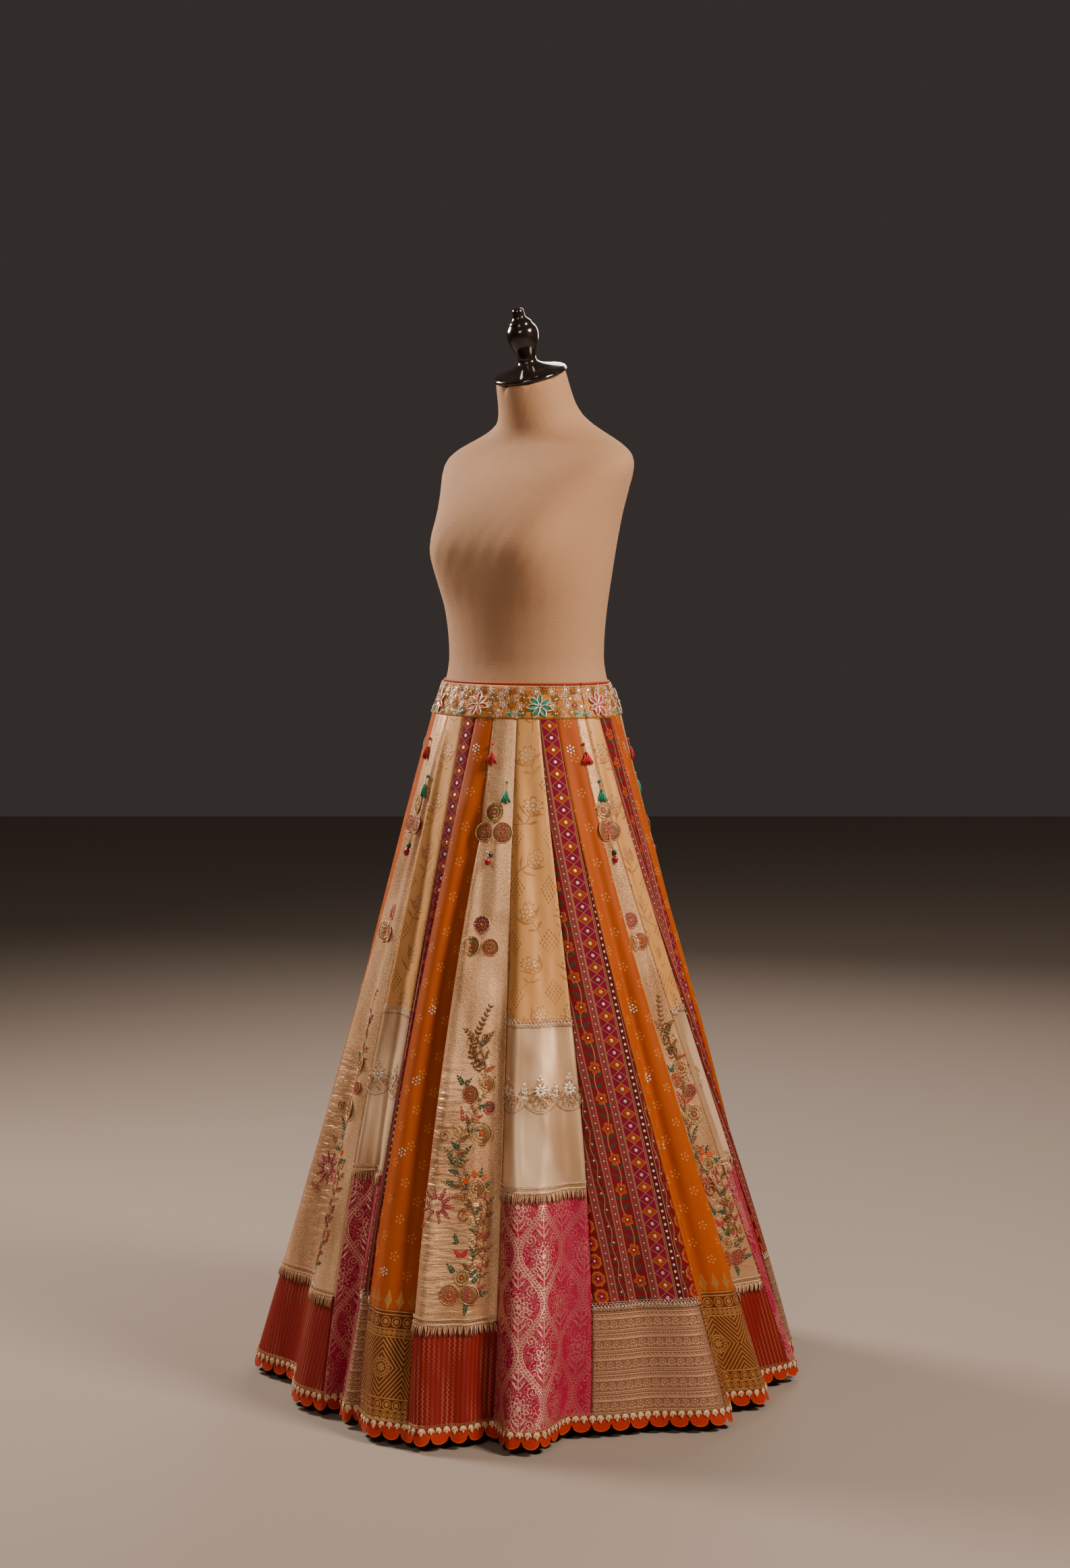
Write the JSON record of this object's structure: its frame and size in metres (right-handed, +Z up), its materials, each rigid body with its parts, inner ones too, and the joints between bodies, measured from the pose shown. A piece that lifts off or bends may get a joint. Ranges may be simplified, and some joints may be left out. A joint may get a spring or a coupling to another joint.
{
  "type": "lehenga skirt on a dress form",
  "caption": "Floor-length panelled lehenga skirt in silk, tissue and brocade, with a fitted waistband, fringe and a scalloped hem, worn by a limbless dress form on a hidden stand",
  "frame": {"origin": "the middle of the stand's underside, on the floor and on the pole's axis", "axes": "+Z is up, the form faces -Y and its left side is +X"},
  "size_m": [0.803, 0.8094, 1.5443],
  "materials": {
    "orange_organza": "fine sheer silk with a small pale print",
    "satin_tissue": "shiny, lightly puckered",
    "silk_jacquard": "soft sheen with woven sprigs",
    "embroidered_strip": "matt, dense coloured embroidery",
    "coral_brocade": "silk with woven silver lines",
    "magenta_brocade": "silk with a woven pale gold figure",
    "zari_weave": "metal-thread weave in bands",
    "fringe_thread": "dull gold thread",
    "embroidered_band": "silk under dense metal-thread embroidery",
    "orange_cord": "corded edge",
    "orange_scallops": "thread-covered scallops",
    "form_linen": "plain matt linen over a hard shell",
    "lacquered_wood": "black gloss lacquer",
    "stand_steel": "black satin paint"
  },
  "bodies": {
    "root": {"orange_panel_1": "orange_organza", "tissue_panel_1": "satin_tissue", "brocade_panel_1": "silk_jacquard", "strip_panel_1": "embroidered_strip", "coral_patch_1": "coral_brocade", "magenta_patch_1": "magenta_brocade", "zari_border_1": "zari_weave", "tissue_fringe_1": "fringe_thread", "brocade_fringe_1": "fringe_thread", "orange_panel_2": "orange_organza", "tissue_panel_2": "satin_tissue", "brocade_panel_2": "silk_jacquard", "strip_panel_2": "embroidered_strip", "coral_patch_2": "coral_brocade", "magenta_patch_2": "magenta_brocade", "zari_border_2": "zari_weave", "tissue_fringe_2": "fringe_thread", "brocade_fringe_2": "fringe_thread", "orange_panel_3": "orange_organza", "tissue_panel_3": "satin_tissue", "brocade_panel_3": "silk_jacquard", "strip_panel_3": "embroidered_strip", "coral_patch_3": "coral_brocade", "magenta_patch_3": "magenta_brocade", "zari_border_3": "zari_weave", "tissue_fringe_3": "fringe_thread", "brocade_fringe_3": "fringe_thread", "orange_panel_4": "orange_organza", "tissue_panel_4": "satin_tissue", "brocade_panel_4": "silk_jacquard", "strip_panel_4": "embroidered_strip", "coral_patch_4": "coral_brocade", "magenta_patch_4": "magenta_brocade", "zari_border_4": "zari_weave", "tissue_fringe_4": "fringe_thread", "brocade_fringe_4": "fringe_thread", "orange_panel_5": "orange_organza", "tissue_panel_5": "satin_tissue", "brocade_panel_5": "silk_jacquard", "strip_panel_5": "embroidered_strip", "coral_patch_5": "coral_brocade", "magenta_patch_5": "magenta_brocade", "zari_border_5": "zari_weave", "tissue_fringe_5": "fringe_thread", "brocade_fringe_5": "fringe_thread", "orange_panel_6": "orange_organza", "tissue_panel_6": "satin_tissue", "brocade_panel_6": "silk_jacquard", "strip_panel_6": "embroidered_strip", "coral_patch_6": "coral_brocade", "magenta_patch_6": "magenta_brocade", "zari_border_6": "zari_weave", "tissue_fringe_6": "fringe_thread", "brocade_fringe_6": "fringe_thread", "waistband": "embroidered_band", "band_piping": "orange_cord", "scallop_trim": "orange_scallops", "dress_form": "form_linen", "neck_finial": "lacquered_wood", "stand": "stand_steel"}
  },
  "joints": []
}
